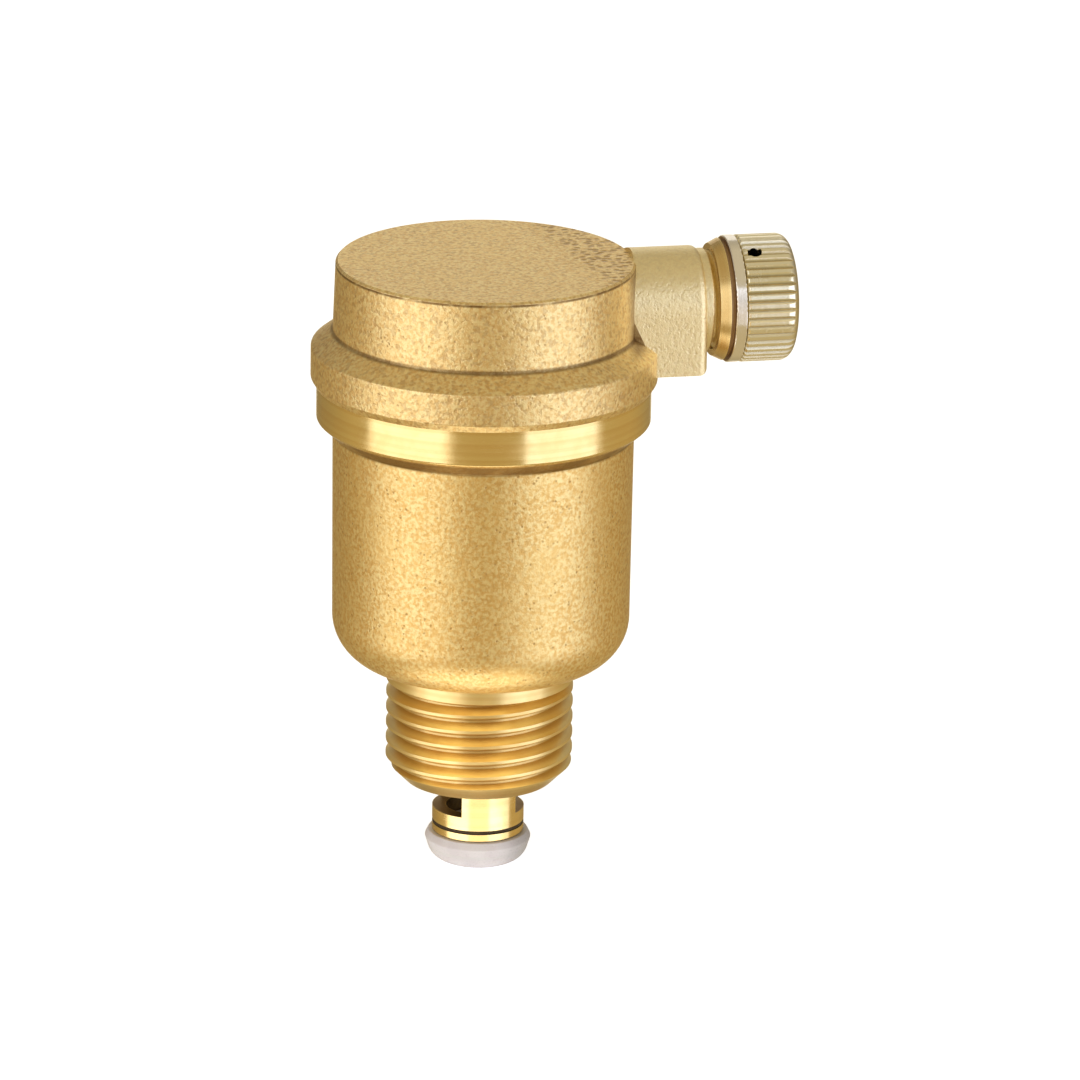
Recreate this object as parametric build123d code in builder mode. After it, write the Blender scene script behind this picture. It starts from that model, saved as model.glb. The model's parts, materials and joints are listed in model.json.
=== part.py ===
from build123d import *

import os
from math import cos, radians, sin

# Automatic air vent, G 1/2, with a side outlet and a spring-loaded inlet shut-off.
# Millimetres. The origin is the centre of the shoulder that the inlet thread starts from.
# +Z runs up the body's axis, +X along the side outlet. Names ending in _r are radii.

# ---- driving dimensions ----

# inlet thread, ISO 228 G 1/2
inlet_crest_r = 20.955 / 2
inlet_pitch = 25.4 / 14
inlet_depth = 1.162
inlet_length = 13.7
inlet_plain = 1.9
inlet_end_r = 8.4

# body casting
foot_r = 16.55
foot_round = 5.5
neck_r = 16.72
neck_z = 26.8
collar_r = 18.55
collar_z = 28.4
seam_z = 32.3
chamber_r = 14.1
chamber_floor_z = 3.0
chamber_floor_round = 2.4
spigot_bore_z = 25.6

# ring seal between body and cover
seal_section_r = 0.5
seal_room = 0.15

# cover casting
spigot_r = 15.1
spigot_gap = 0.1
spigot_end_z = 26.3
cavity_r = 13.5
cavity_top_z = 43.5
flange_r = 19.2
flange_foot_r = 18.7
flange_foot_bevel = 0.8
flange_top_z = 36.55
cone_top_z = 38.4
wall_foot_r = 16.8
wall_top_r = 16.55
cover_top_z = 46.3
rim_bevel = 0.25
rim_edge_round = 0.1

# outlet
outlet_z = 40.8
boss_r = 6.1
boss_foot_z = 33.85
boss_end_x = 24.0
boss_end_round = 0.9
neck_ring_r = 5.75
neck_ring_end_x = 24.75
neck_ring_round = 0.2
stub_crest_r = 5.5
stub_pitch = 1.0
stub_depth = 0.6
stub_end_x = 28.6
nose_r = 2.6
nose_end_x = 30.65
passage_r = 1.5

# vent cap
cap_back_x = 25.3
cap_back_r = 6.25
cap_cone_r = 6.8
cap_cone_x = 26.4
cap_groove_r = 6.35
cap_rim_x = 26.9
cap_r = 7.07
cap_line_x = 28.15
cap_line = 0.15
cap_end_x = 34.2
cap_end_round = 1.35
cap_bore_r = 5.55
cap_room_r = 5.8
cap_room_x = 28.4
knurl_teeth = 45
knurl_depth = 0.42
knurl_share = 0.6
vent_hole_r = 0.8
vent_hole_x = 29.6
vent_hole_angle = 117.5
cap_gasket_r = 4.6
cap_gasket_thick = 0.8

# float valve
seat_tip_x = 10.0
seat_tip_r = 1.3
seat_hex_x = 10.55
seat_hex_r = 2.6
seat_shank_r = 1.95
seat_end_x = 16.0
seat_orifice_r = 0.6
pad_land_x = 12.0
pad_land_foot_z = 33.1
bracket_plate = 0.8
bracket_half_width = 3.2
pivot_x = 9.6
pivot_z = 34.8
pivot_r = 0.75
pivot_hole_gap = 0.05
eye_r = 1.6
lever_thick = 1.0
lever_hub_half = 2.3
lever_eye_r = 1.3
lever_open_angle = 12.0
lever_arm_half = 1.1
lever_leg_width = 1.4
slot_reach = 0.3
pad_r = 1.9
pad_thick = 1.6
cup_wall = 0.4
cup_floor = 0.5
cup_lip = 0.6
pin_head_lip = 0.5
pin_head_thick = 0.5
pin_tail = 1.0
pin_clip_gap = 0.05

# float
float_r = 12.4
float_foot_z = 3.5
float_seam_z = 24.5
float_top_z = 28.6
float_wall = 1.0
float_edge_round = 1.2
float_lid_skirt = 1.4
float_skirt_gap = 0.05
float_pin_r = 0.6
fork_gap = 0.7
fork_ear = 1.0

# inlet shut-off
lip_bore_r = 5.22
lip_top_z = -11.2
spring_bore_r = 7.0
spool_r = 5.15
spool_bore_r = 3.6
spool_flange_r = 6.65
spool_flange_thick = 1.5
window_top_z = -13.75
window_foot_z = -17.2
window_arc = 105.0
window_turn = 6.0
seal_top_z = -18.7
seal_foot_z = -19.15
seal_groove_r = 4.3
spool_foot_z = -20.0
head_r = 5.95
head_foot_z = -23.45
head_round = 2.1
head_draft = 0.8
head_lip = 0.4
head_lip_z = -20.8
head_stem_r = 3.5
head_stem_z = -18.9
wire_r = 0.3
spring_coils = 5
retainer_z = 1.0
retainer_thick = 0.8
retainer_slack = 0.1
clip_thick = 0.6
clip_width = 0.9
clip_groove = 0.45
clip_slack = 0.05
clip_opening = 30.0

# small clearances, the usual edge round, and how far a cutting tool runs past the metal
seat_gap = 0.02
edge_round = 0.3
overrun = 1.0

# ---- derived values ----

inlet_root_r = inlet_crest_r - inlet_depth
inlet_end_z = -inlet_length
inlet_lead_z = inlet_end_z + (inlet_crest_r - inlet_end_r)
inlet_ridge_foot_z = inlet_end_z - inlet_pitch
inlet_ridge_head_z = -inlet_plain + inlet_pitch / 2
outlet_axis = Axis((0, 0, outlet_z), (1, 0, 0))
pivot_axis = Axis((pivot_x, 0, pivot_z), (0, 1, 0))
fork_x = 0.0
fork_rest_z = pivot_z - (pivot_x - fork_x) * sin(radians(lever_open_angle))
fork_rest_x = pivot_x - (pivot_x - fork_x) * cos(radians(lever_open_angle))
ear_inner = bracket_half_width - bracket_plate
plate_x = pad_land_x - bracket_plate
seal_mid_r = (spigot_r + spigot_gap + collar_r) / 2

os.makedirs("parts", exist_ok=True)


# ---- helpers ----

def outline(*corners):
    """Fill a closed outline in the sketch in hand. A corner is (x, y) or (x, y, fillet radius)."""
    points = [corner[:2] for corner in corners]
    radii = [corner[2] if len(corner) > 2 else 0 for corner in corners]
    with BuildLine() as edge_loop:
        FilletPolyline(points, radius=radii, close=True)
    make_face(edge_loop.edges())


def thread_ridge(crest_r, depth, pitch, start, length):
    """A right-hand ridge of 55 to 60 degree flanks, climbing +Z from start, rooted inside its core."""
    buried = 0.15
    root_half = 0.44 * pitch
    crest_half = 0.09 * pitch
    with BuildPart() as ridge:
        with BuildLine() as climb:
            Helix(pitch, length, crest_r - depth, center=(0, 0, start))
        foot = climb.line @ 0
        with BuildSketch(Plane(origin=foot, x_dir=(1, 0, 0), z_dir=climb.line % 0)) as tooth:
            outline(
                (-buried, -root_half),
                (0, -root_half),
                (depth, -crest_half),
                (depth, crest_half),
                (0, root_half),
                (-buried, root_half),
            )
        sweep(tooth.sketch, path=climb.line, is_frenet=True)
    return ridge.part


def save(part, name):
    """Label a finished piece and write it under the same name."""
    part.label = name
    export_step(part, f"parts/{name}.step")


# ---- body: float chamber, collar and inlet thread in one casting ----

inlet_ridge = thread_ridge(
    inlet_crest_r - seat_gap,
    inlet_depth - seat_gap,
    inlet_pitch,
    inlet_ridge_foot_z,
    inlet_ridge_head_z - inlet_ridge_foot_z,
)

with BuildPart() as body:
    with BuildSketch(Plane.XZ):
        outline(
            (0, inlet_end_z),
            (inlet_root_r, inlet_end_z),
            (inlet_root_r, -inlet_plain - inlet_depth / 2),
            (inlet_crest_r, -inlet_plain),
            (inlet_crest_r, 0),
            (foot_r, 0, foot_round),
            (neck_r, neck_z, edge_round),
            (collar_r, collar_z, edge_round),
            (collar_r, seam_z),
            (0, seam_z),
        )
    revolve(axis=Axis.Z)
    add(inlet_ridge)
    # lead-in chamfer and square end of the thread
    with BuildSketch(Plane.XZ):
        outline(
            (inlet_end_r, inlet_end_z),
            (inlet_crest_r + overrun, inlet_lead_z + overrun),
            (inlet_crest_r + overrun, inlet_ridge_foot_z - inlet_pitch),
            (0, inlet_ridge_foot_z - inlet_pitch),
            (0, inlet_end_z),
        )
    revolve(axis=Axis.Z, mode=Mode.SUBTRACT)
    # guide lip, spring bore, clip groove, float chamber and the bore that takes the cover
    with BuildSketch(Plane.XZ):
        outline(
            (0, inlet_end_z - overrun),
            (lip_bore_r, inlet_end_z - overrun),
            (lip_bore_r, lip_top_z),
            (spring_bore_r, lip_top_z),
            (spring_bore_r, retainer_z + retainer_thick),
            (spring_bore_r + clip_groove, retainer_z + retainer_thick),
            (spring_bore_r + clip_groove, retainer_z + retainer_thick + clip_thick),
            (spring_bore_r, retainer_z + retainer_thick + clip_thick),
            (spring_bore_r, chamber_floor_z),
            (chamber_r, chamber_floor_z, chamber_floor_round),
            (chamber_r, spigot_bore_z),
            (spigot_r + spigot_gap, spigot_bore_z),
            (spigot_r + spigot_gap, seam_z + overrun),
            (0, seam_z + overrun),
        )
    revolve(axis=Axis.Z, mode=Mode.SUBTRACT)
    # groove in the top land for the cover's ring seal
    with BuildSketch(Plane.XZ):
        outline(
            (seal_mid_r - seal_section_r - seal_room, seam_z - 2 * seal_section_r - seat_gap),
            (seal_mid_r + seal_section_r + seal_room, seam_z - 2 * seal_section_r - seat_gap),
            (seal_mid_r + seal_section_r + seal_room, seam_z + overrun),
            (seal_mid_r - seal_section_r - seal_room, seam_z + overrun),
        )
    revolve(axis=Axis.Z, mode=Mode.SUBTRACT)

save(body.part, "body")

# ---- ring seal between body and cover ----

with BuildPart() as cover_seal:
    with BuildSketch(Plane.XZ):
        with Locations((seal_mid_r, seam_z - seal_section_r - seat_gap / 2)):
            Circle(seal_section_r)
    revolve(axis=Axis.Z)

save(cover_seal.part, "cover_seal")

# ---- cover: flange, cap, outlet boss and threaded stub in one casting ----

stub_ridge = thread_ridge(
    stub_crest_r,
    stub_depth,
    stub_pitch,
    neck_ring_end_x,
    stub_end_x - neck_ring_end_x - stub_pitch / 2,
)

# threaded stub for the vent cap, and the nose that seals on its gasket
with BuildPart() as stub:
    with BuildSketch(Plane.XZ):
        outline(
            (0, boss_end_x - overrun),
            (neck_ring_r, boss_end_x - overrun),
            (neck_ring_r, neck_ring_end_x, neck_ring_round),
            (stub_crest_r - stub_depth, neck_ring_end_x),
            (stub_crest_r - stub_depth, stub_end_x),
            (nose_r, stub_end_x),
            (nose_r, nose_end_x, edge_round),
            (0, nose_end_x),
        )
    revolve(axis=Axis.Z)
    add(stub_ridge)

with BuildPart() as cover:
    with BuildSketch(Plane.XZ):
        outline(
            (0, spigot_end_z),
            (spigot_r, spigot_end_z, edge_round),
            (spigot_r, seam_z),
            (flange_foot_r, seam_z),
            (flange_r, seam_z + flange_foot_bevel, edge_round),
            (flange_r, flange_top_z, edge_round),
            (wall_foot_r, cone_top_z, edge_round),
            (wall_top_r, cover_top_z - rim_bevel, rim_edge_round),
            (wall_top_r - rim_bevel, cover_top_z),
            (0, cover_top_z),
        )
    revolve(axis=Axis.Z)
    # outlet boss: round about the outlet, with straight sides below and a square foot
    with BuildSketch(Plane.YZ.offset(pad_land_x)) as boss_section:
        with Locations((0, outlet_z)):
            Circle(boss_r)
        with Locations((0, (outlet_z + boss_foot_z) / 2)):
            Rectangle(2 * boss_r, outlet_z - boss_foot_z)
    extrude(amount=boss_end_x - pad_land_x)
    boss_end = faces().filter_by(Plane.YZ).sort_by(Axis.X)[-1]
    fillet(boss_end.edges(), boss_end_round)
    # the boss stops at the rim, clear of the flat top
    with BuildSketch(Plane.XY.offset(cover_top_z)) as top_face:
        Circle(wall_top_r - rim_bevel)
    extrude(amount=boss_r, mode=Mode.SUBTRACT)
    add(Pos(0, 0, outlet_z) * (Rot(0, 90, 0) * stub.part))
    # float cavity, kept clear of the flat land that carries the valve
    with BuildSketch(Plane.XY.offset(spigot_end_z - overrun)) as cavity_low:
        Circle(cavity_r)
    extrude(amount=pad_land_foot_z - spigot_end_z + overrun, mode=Mode.SUBTRACT)
    with BuildSketch(Plane.XY.offset(pad_land_foot_z)) as cavity_high:
        Circle(cavity_r)
        with Locations((pad_land_x, 0)):
            Rectangle(cavity_r, 2 * boss_r, align=(Align.MIN, Align.CENTER), mode=Mode.SUBTRACT)
    extrude(amount=cavity_top_z - pad_land_foot_z, mode=Mode.SUBTRACT)
    # bore for the valve seat, then the outlet passage
    with BuildSketch(Plane.XZ):
        outline(
            (pad_land_x - overrun, outlet_z),
            (pad_land_x - overrun, outlet_z + seat_shank_r + seat_gap),
            (seat_end_x + seat_gap, outlet_z + seat_shank_r + seat_gap),
            (seat_end_x + seat_gap, outlet_z + passage_r),
            (nose_end_x + overrun, outlet_z + passage_r),
            (nose_end_x + overrun, outlet_z),
        )
    revolve(axis=outlet_axis, mode=Mode.SUBTRACT)

save(cover.part, "cover")

# ---- valve seat: hexagon, shank and raised tip with the orifice ----

with BuildPart() as valve_seat:
    with BuildSketch(Plane.XZ):
        outline(
            (seat_tip_x, outlet_z),
            (seat_tip_x, outlet_z + seat_tip_r - edge_round),
            (seat_tip_x + edge_round, outlet_z + seat_tip_r),
            (plate_x, outlet_z + seat_tip_r),
            (plate_x, outlet_z + seat_shank_r),
            (seat_end_x, outlet_z + seat_shank_r),
            (seat_end_x, outlet_z),
        )
    revolve(axis=outlet_axis)
    with BuildSketch(Plane.YZ.offset(seat_hex_x)) as hexagon:
        with Locations((0, outlet_z)):
            RegularPolygon(seat_hex_r, 6)
    extrude(amount=plate_x - seat_hex_x)
    with BuildSketch(Plane.YZ.offset(seat_tip_x)) as orifice:
        with Locations((0, outlet_z)):
            Circle(seat_orifice_r)
    extrude(amount=seat_end_x - seat_tip_x, mode=Mode.SUBTRACT)

save(valve_seat.part, "valve_seat")

# ---- lever bracket: a plate clamped by the seat, with two ears for the pivot ----

bracket_top_z = cavity_top_z - edge_round
ear_foot_z = pivot_z - eye_r
ear_top_z = outlet_z - seat_hex_r - edge_round

with BuildPart() as lever_bracket:
    with BuildSketch(Plane.YZ.offset(plate_x)) as plate:
        with Locations((0, (bracket_top_z + ear_foot_z) / 2)):
            Rectangle(2 * bracket_half_width, bracket_top_z - ear_foot_z)
        with Locations((0, outlet_z)):
            Circle(seat_shank_r + seat_gap, mode=Mode.SUBTRACT)
    extrude(amount=bracket_plate)
    for ear_plane in (Plane.XZ.offset(ear_inner), Plane.XZ.offset(-bracket_half_width)):
        with BuildSketch(ear_plane) as ear:
            outline(
                (pivot_x - eye_r, ear_foot_z, eye_r - edge_round),
                (plate_x, ear_foot_z),
                (plate_x, ear_top_z),
                (pivot_x - eye_r, pivot_z + eye_r, eye_r / 2),
            )
            with Locations((pivot_x, pivot_z)):
                Circle(pivot_r + seat_gap, mode=Mode.SUBTRACT)
        extrude(amount=bracket_plate)

save(lever_bracket.part, "lever_bracket")

# ---- pivot pin with a head, and the ring that keeps it in ----

pin_head_r = pivot_r + pin_head_lip

with BuildPart() as pivot_pin:
    with BuildSketch(Plane.XZ.offset(-(bracket_half_width + pin_tail))) as shank:
        with Locations((pivot_x, pivot_z)):
            Circle(pivot_r)
    extrude(amount=2 * bracket_half_width + pin_tail + seat_gap)
    with BuildSketch(Plane.XZ.offset(bracket_half_width + seat_gap)) as head:
        with Locations((pivot_x, pivot_z)):
            Circle(pin_head_r)
    extrude(amount=pin_head_thick)

save(pivot_pin.part, "pivot_pin")

with BuildPart() as pivot_clip:
    with BuildSketch(Plane.XZ.offset(-(bracket_half_width + pin_clip_gap + pin_head_thick))) as ring:
        with Locations((pivot_x, pivot_z)):
            Circle(pin_head_r)
            Circle(pivot_r + seat_gap, mode=Mode.SUBTRACT)
    extrude(amount=pin_head_thick)

save(pivot_clip.part, "pivot_clip")

# ---- valve lever: drawn level and closed, then turned to the open rest position ----

cup_r = pad_r + cup_wall
cup_back_x = seat_tip_x - seat_gap - pad_thick
leg_back_x = cup_back_x - cup_floor - lever_leg_width
arm_tip_round = lever_arm_half - seat_gap
slot_half_height = float_pin_r + pivot_hole_gap
lever_turn = -lever_open_angle

with BuildPart() as valve_lever:
    with BuildSketch(Plane.XZ.offset(-lever_thick / 2)) as web:
        outline(
            (fork_x - eye_r, pivot_z - lever_arm_half, arm_tip_round),
            (fork_x + 2 * eye_r, pivot_z - lever_arm_half),
            (pivot_x + lever_eye_r, pivot_z - lever_eye_r, lever_eye_r / 2),
            (pivot_x + lever_eye_r, pivot_z + lever_eye_r, lever_eye_r / 2),
            (pivot_x, pivot_z + lever_eye_r, eye_r / 2),
            (cup_back_x, outlet_z - cup_r),
            (cup_back_x, outlet_z),
            (leg_back_x, outlet_z, edge_round),
            (leg_back_x, pivot_z + lever_arm_half, eye_r),
            (fork_x - eye_r, pivot_z + lever_arm_half, arm_tip_round),
        )
    extrude(amount=lever_thick)
    with BuildSketch(Plane.XZ.offset(-lever_hub_half)) as hub:
        with Locations((pivot_x, pivot_z)):
            Circle(lever_eye_r)
    extrude(amount=2 * lever_hub_half)
    with BuildSketch(Plane.YZ.offset(cup_back_x - cup_floor)) as cup:
        with Locations((0, outlet_z)):
            Circle(cup_r)
    extrude(amount=cup_floor + cup_lip)
    with BuildSketch(Plane.YZ.offset(cup_back_x)) as cup_bore:
        with Locations((0, outlet_z)):
            Circle(pad_r + seat_gap)
    extrude(amount=pad_thick, mode=Mode.SUBTRACT)
    with BuildSketch(Plane.XZ.offset(-lever_hub_half)) as holes:
        with Locations((pivot_x, pivot_z)):
            Circle(pivot_r + pivot_hole_gap)
        with Locations((fork_x, pivot_z)):
            SlotOverall(2 * (slot_half_height + slot_reach), 2 * slot_half_height)
    extrude(amount=2 * lever_hub_half, mode=Mode.SUBTRACT)

save(valve_lever.part.rotate(pivot_axis, lever_turn), "valve_lever")

with BuildPart() as valve_pad:
    with BuildSketch(Plane.YZ.offset(cup_back_x + seat_gap / 2)) as disc:
        with Locations((0, outlet_z)):
            Circle(pad_r)
    extrude(amount=pad_thick - seat_gap / 2)

save(valve_pad.part.rotate(pivot_axis, lever_turn), "valve_pad")

# ---- float: a cup and a lid welded at a step, the lid carrying the fork ----

fork_top_z = fork_rest_z + eye_r
fork_tip_round = eye_r - pivot_hole_gap

with BuildPart() as float_cup:
    with BuildSketch(Plane.XZ):
        outline(
            (0, float_foot_z),
            (float_r, float_foot_z, float_edge_round),
            (float_r, float_seam_z),
            (float_r - float_wall, float_seam_z),
            (float_r - float_wall, float_foot_z + float_wall, float_edge_round / 2),
            (0, float_foot_z + float_wall),
        )
    revolve(axis=Axis.Z)

save(float_cup.part, "float_cup")

lid_step_z = float_seam_z - float_lid_skirt
lid_inner_r = float_r - float_wall - float_skirt_gap

with BuildPart() as float_lid:
    with BuildSketch(Plane.XZ):
        outline(
            (0, float_top_z - float_wall),
            (lid_inner_r - float_wall, float_seam_z + float_wall, float_edge_round / 2),
            (lid_inner_r - float_wall, lid_step_z),
            (lid_inner_r, lid_step_z),
            (lid_inner_r, float_seam_z + seat_gap),
            (float_r, float_seam_z + seat_gap),
            (float_r, float_seam_z + 2 * float_wall, float_edge_round),
            (0, float_top_z),
        )
    revolve(axis=Axis.Z)
    for ear_plane in (Plane.XZ.offset(fork_gap), Plane.XZ.offset(-fork_gap - fork_ear)):
        with BuildSketch(ear_plane) as fork:
            outline(
                (fork_rest_x - 2 * eye_r, float_top_z - float_wall),
                (fork_rest_x + 2 * eye_r, float_top_z - float_wall),
                (fork_rest_x + eye_r, fork_top_z, fork_tip_round),
                (fork_rest_x - eye_r, fork_top_z, fork_tip_round),
            )
            with Locations((fork_rest_x, fork_rest_z)):
                Circle(float_pin_r + seat_gap, mode=Mode.SUBTRACT)
        extrude(amount=fork_ear)

save(float_lid.part, "float_lid")

with BuildPart() as float_pin:
    with BuildSketch(Plane.XZ.offset(-(fork_gap + fork_ear + edge_round))) as wire:
        with Locations((fork_rest_x, fork_rest_z)):
            Circle(float_pin_r)
    extrude(amount=2 * (fork_gap + fork_ear + edge_round))

save(float_pin.part, "float_pin")

# ---- vent cap: turned back, smooth rim band and straight knurl ----

cap_depth_x = nose_end_x + seat_gap + cap_gasket_thick

with BuildPart() as vent_cap:
    knurl_start_x = cap_line_x + cap_line
    with BuildSketch(Plane.YZ.offset(knurl_start_x)) as knurl:
        with Locations((0, outlet_z)):
            Circle(cap_r)
            with PolarLocations(cap_r, knurl_teeth):
                groove_half = knurl_share * cap_r * radians(180 / knurl_teeth)
                Polygon(
                    (knurl_depth, -2 * groove_half),
                    (-knurl_depth, 0),
                    (knurl_depth, 2 * groove_half),
                    align=None,
                    mode=Mode.SUBTRACT,
                )
    extrude(amount=cap_end_x - knurl_start_x)
    with BuildSketch(Plane.XZ):
        outline(
            (knurl_start_x - overrun, outlet_z),
            (knurl_start_x - overrun, outlet_z + cap_r),
            (knurl_start_x, outlet_z + cap_r - knurl_depth / 2),
            (knurl_start_x + knurl_depth / 2, outlet_z + cap_r),
            (cap_end_x, outlet_z + cap_r, cap_end_round),
            (cap_end_x, outlet_z),
        )
    revolve(axis=outlet_axis, mode=Mode.INTERSECT)
    with BuildSketch(Plane.XZ):
        outline(
            (cap_back_x, outlet_z),
            (cap_back_x, outlet_z + cap_back_r),
            (cap_cone_x, outlet_z + cap_cone_r),
            (cap_cone_x, outlet_z + cap_groove_r),
            (cap_rim_x, outlet_z + cap_groove_r),
            (cap_rim_x, outlet_z + cap_r, edge_round / 2),
            (cap_line_x, outlet_z + cap_r, edge_round / 3),
            (cap_line_x, outlet_z + cap_r - knurl_depth),
            (knurl_start_x + edge_round, outlet_z + cap_r - knurl_depth - edge_round),
            (knurl_start_x + edge_round, outlet_z),
        )
    revolve(axis=outlet_axis)
    # threaded bore, room around the nose, and the gasket's recess
    with BuildSketch(Plane.XZ):
        outline(
            (cap_back_x - overrun, outlet_z),
            (cap_back_x - overrun, outlet_z + cap_bore_r),
            (cap_room_x, outlet_z + cap_bore_r),
            (cap_room_x, outlet_z + cap_room_r),
            (nose_end_x + seat_gap, outlet_z + cap_room_r),
            (nose_end_x + seat_gap, outlet_z + cap_gasket_r + seat_gap),
            (cap_depth_x + seat_gap, outlet_z + cap_gasket_r + seat_gap),
            (cap_depth_x + seat_gap, outlet_z),
        )
    revolve(axis=outlet_axis, mode=Mode.SUBTRACT)
    # side air hole
    hole_y = cos(radians(vent_hole_angle))
    hole_z = sin(radians(vent_hole_angle))
    hole_plane = Plane(
        origin=(vent_hole_x, hole_y * nose_r, outlet_z + hole_z * nose_r),
        x_dir=(1, 0, 0),
        z_dir=(0, hole_y, hole_z),
    )
    with BuildSketch(hole_plane) as air_hole:
        Circle(vent_hole_r)
    extrude(amount=cap_r, mode=Mode.SUBTRACT)

save(vent_cap.part, "vent_cap")

with BuildPart() as cap_gasket:
    with BuildSketch(Plane.YZ.offset(nose_end_x + seat_gap)) as washer:
        with Locations((0, outlet_z)):
            Circle(cap_gasket_r)
    extrude(amount=cap_gasket_thick)

save(cap_gasket.part, "cap_gasket")

# ---- inlet shut-off: brass spool with two windows, its seal and its plastic head ----

flange_foot_z = lip_top_z + seat_gap
flange_head_z = flange_foot_z + spool_flange_thick

with BuildPart() as shutoff_spool:
    with BuildSketch(Plane.XZ):
        outline(
            (spool_bore_r, spool_foot_z),
            (spool_r, spool_foot_z, edge_round / 3),
            (spool_r, seal_foot_z),
            (seal_groove_r, seal_foot_z),
            (seal_groove_r, seal_top_z),
            (spool_r, seal_top_z),
            (spool_r, flange_foot_z),
            (spool_flange_r, flange_foot_z),
            (spool_flange_r, flange_head_z, edge_round),
            (spool_bore_r, flange_head_z),
        )
    revolve(axis=Axis.Z)
    for side in (0, 180):
        with BuildSketch(Plane.XY.offset(window_foot_z)) as window:
            with BuildLine() as sector:
                first = window_turn + side - window_arc / 2
                CenterArc((0, 0), spool_r + overrun, first, window_arc)
                Line(sector.line @ 1, (0, 0))
                Line((0, 0), sector.line @ 0)
            make_face()
        extrude(amount=window_top_z - window_foot_z, mode=Mode.SUBTRACT)

save(shutoff_spool.part, "shutoff_spool")

with BuildPart() as spool_seal:
    with BuildSketch(Plane.XZ):
        outline(
            (seal_groove_r + seat_gap, seal_foot_z + seat_gap),
            (spool_r - seat_gap, seal_foot_z + seat_gap, edge_round / 2),
            (spool_r - seat_gap, seal_top_z - seat_gap, edge_round / 2),
            (seal_groove_r + seat_gap, seal_top_z - seat_gap),
        )
    revolve(axis=Axis.Z)

save(spool_seal.part, "spool_seal")

with BuildPart() as shutoff_head:
    with BuildSketch(Plane.XZ):
        outline(
            (0, head_foot_z),
            (head_r - head_draft, head_foot_z, head_round),
            (head_r, head_lip_z, edge_round),
            (head_r - head_lip, spool_foot_z - seat_gap, edge_round / 2),
            (head_stem_r, spool_foot_z - seat_gap),
            (head_stem_r, head_stem_z, edge_round),
            (0, head_stem_z),
        )
    revolve(axis=Axis.Z)

save(shutoff_head.part, "shutoff_head")

# ---- shut-off spring, its retainer and the clip above it ----

spring_r = (spring_bore_r + spool_bore_r) / 2 + wire_r
spring_foot_z = flange_head_z + seat_gap
spring_head_z = retainer_z - seat_gap
spring_rise = spring_head_z - spring_foot_z - 2 * wire_r

with BuildPart() as shutoff_spring:
    with BuildLine() as coil:
        Helix(spring_rise / spring_coils, spring_rise, spring_r, center=(0, 0, spring_foot_z + wire_r))
    with BuildSketch(Plane(origin=coil.line @ 0, x_dir=(1, 0, 0), z_dir=coil.line % 0)) as section:
        Circle(wire_r)
    sweep(section.sketch, path=coil.line, is_frenet=True)

save(shutoff_spring.part, "shutoff_spring")

with BuildPart() as spring_retainer:
    with BuildSketch(Plane.XY.offset(retainer_z)) as disc:
        Circle(spring_bore_r - retainer_slack)
        Circle(spool_bore_r, mode=Mode.SUBTRACT)
    extrude(amount=retainer_thick - seat_gap)

save(spring_retainer.part, "spring_retainer")

clip_r = spring_bore_r + clip_groove - clip_slack

with BuildPart() as retaining_clip:
    with BuildSketch(Plane.XY.offset(retainer_z + retainer_thick + seat_gap / 2)) as clip:
        Circle(clip_r)
        Circle(clip_r - clip_width, mode=Mode.SUBTRACT)
        with BuildLine() as opening:
            CenterArc((0, 0), 2 * spring_bore_r, -clip_opening / 2, clip_opening)
            Line(opening.line @ 1, (0, 0))
            Line((0, 0), opening.line @ 0)
        make_face(mode=Mode.SUBTRACT)
    extrude(amount=clip_thick - seat_gap)

save(retaining_clip.part, "retaining_clip")
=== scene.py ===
import json
import math

import bmesh
import bpy
from mathutils import Matrix, Vector


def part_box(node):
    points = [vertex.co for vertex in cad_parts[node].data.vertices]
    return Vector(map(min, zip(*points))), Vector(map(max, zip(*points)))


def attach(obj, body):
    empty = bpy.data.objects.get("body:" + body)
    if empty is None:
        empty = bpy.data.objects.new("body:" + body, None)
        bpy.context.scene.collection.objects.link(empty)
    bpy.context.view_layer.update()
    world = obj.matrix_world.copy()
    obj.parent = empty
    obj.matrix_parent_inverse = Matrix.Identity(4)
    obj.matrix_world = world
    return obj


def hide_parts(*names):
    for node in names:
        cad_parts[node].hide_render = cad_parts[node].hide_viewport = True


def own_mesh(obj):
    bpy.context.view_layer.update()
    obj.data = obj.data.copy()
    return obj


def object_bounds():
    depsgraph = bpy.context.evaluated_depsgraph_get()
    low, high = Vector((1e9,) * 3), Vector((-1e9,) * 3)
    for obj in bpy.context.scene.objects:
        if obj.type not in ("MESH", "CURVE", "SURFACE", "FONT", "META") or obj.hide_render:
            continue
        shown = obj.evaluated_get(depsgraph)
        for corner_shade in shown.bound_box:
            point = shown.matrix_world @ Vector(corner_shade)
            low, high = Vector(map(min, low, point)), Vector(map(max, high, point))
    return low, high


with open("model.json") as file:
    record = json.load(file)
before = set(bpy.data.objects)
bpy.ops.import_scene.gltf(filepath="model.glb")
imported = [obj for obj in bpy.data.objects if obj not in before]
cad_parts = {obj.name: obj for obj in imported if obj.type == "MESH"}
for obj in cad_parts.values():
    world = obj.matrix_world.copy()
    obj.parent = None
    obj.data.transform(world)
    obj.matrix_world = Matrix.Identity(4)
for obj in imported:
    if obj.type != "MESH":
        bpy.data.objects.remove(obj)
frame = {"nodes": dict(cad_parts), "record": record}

# Automatic air vent: procedural finishes for the CAD nodes, a coil spring in mesh, and a studio.
# Metres, in the CAD's frame: +Z up the body's axis, +X along the side outlet.

cad_low, cad_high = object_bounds()
nodes = frame["nodes"]
record = frame["record"]
mounts = {mount["name"]: mount for mount in record["mounts"]}
MM = 0.001

# ---- places taken from the frame ----

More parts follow.
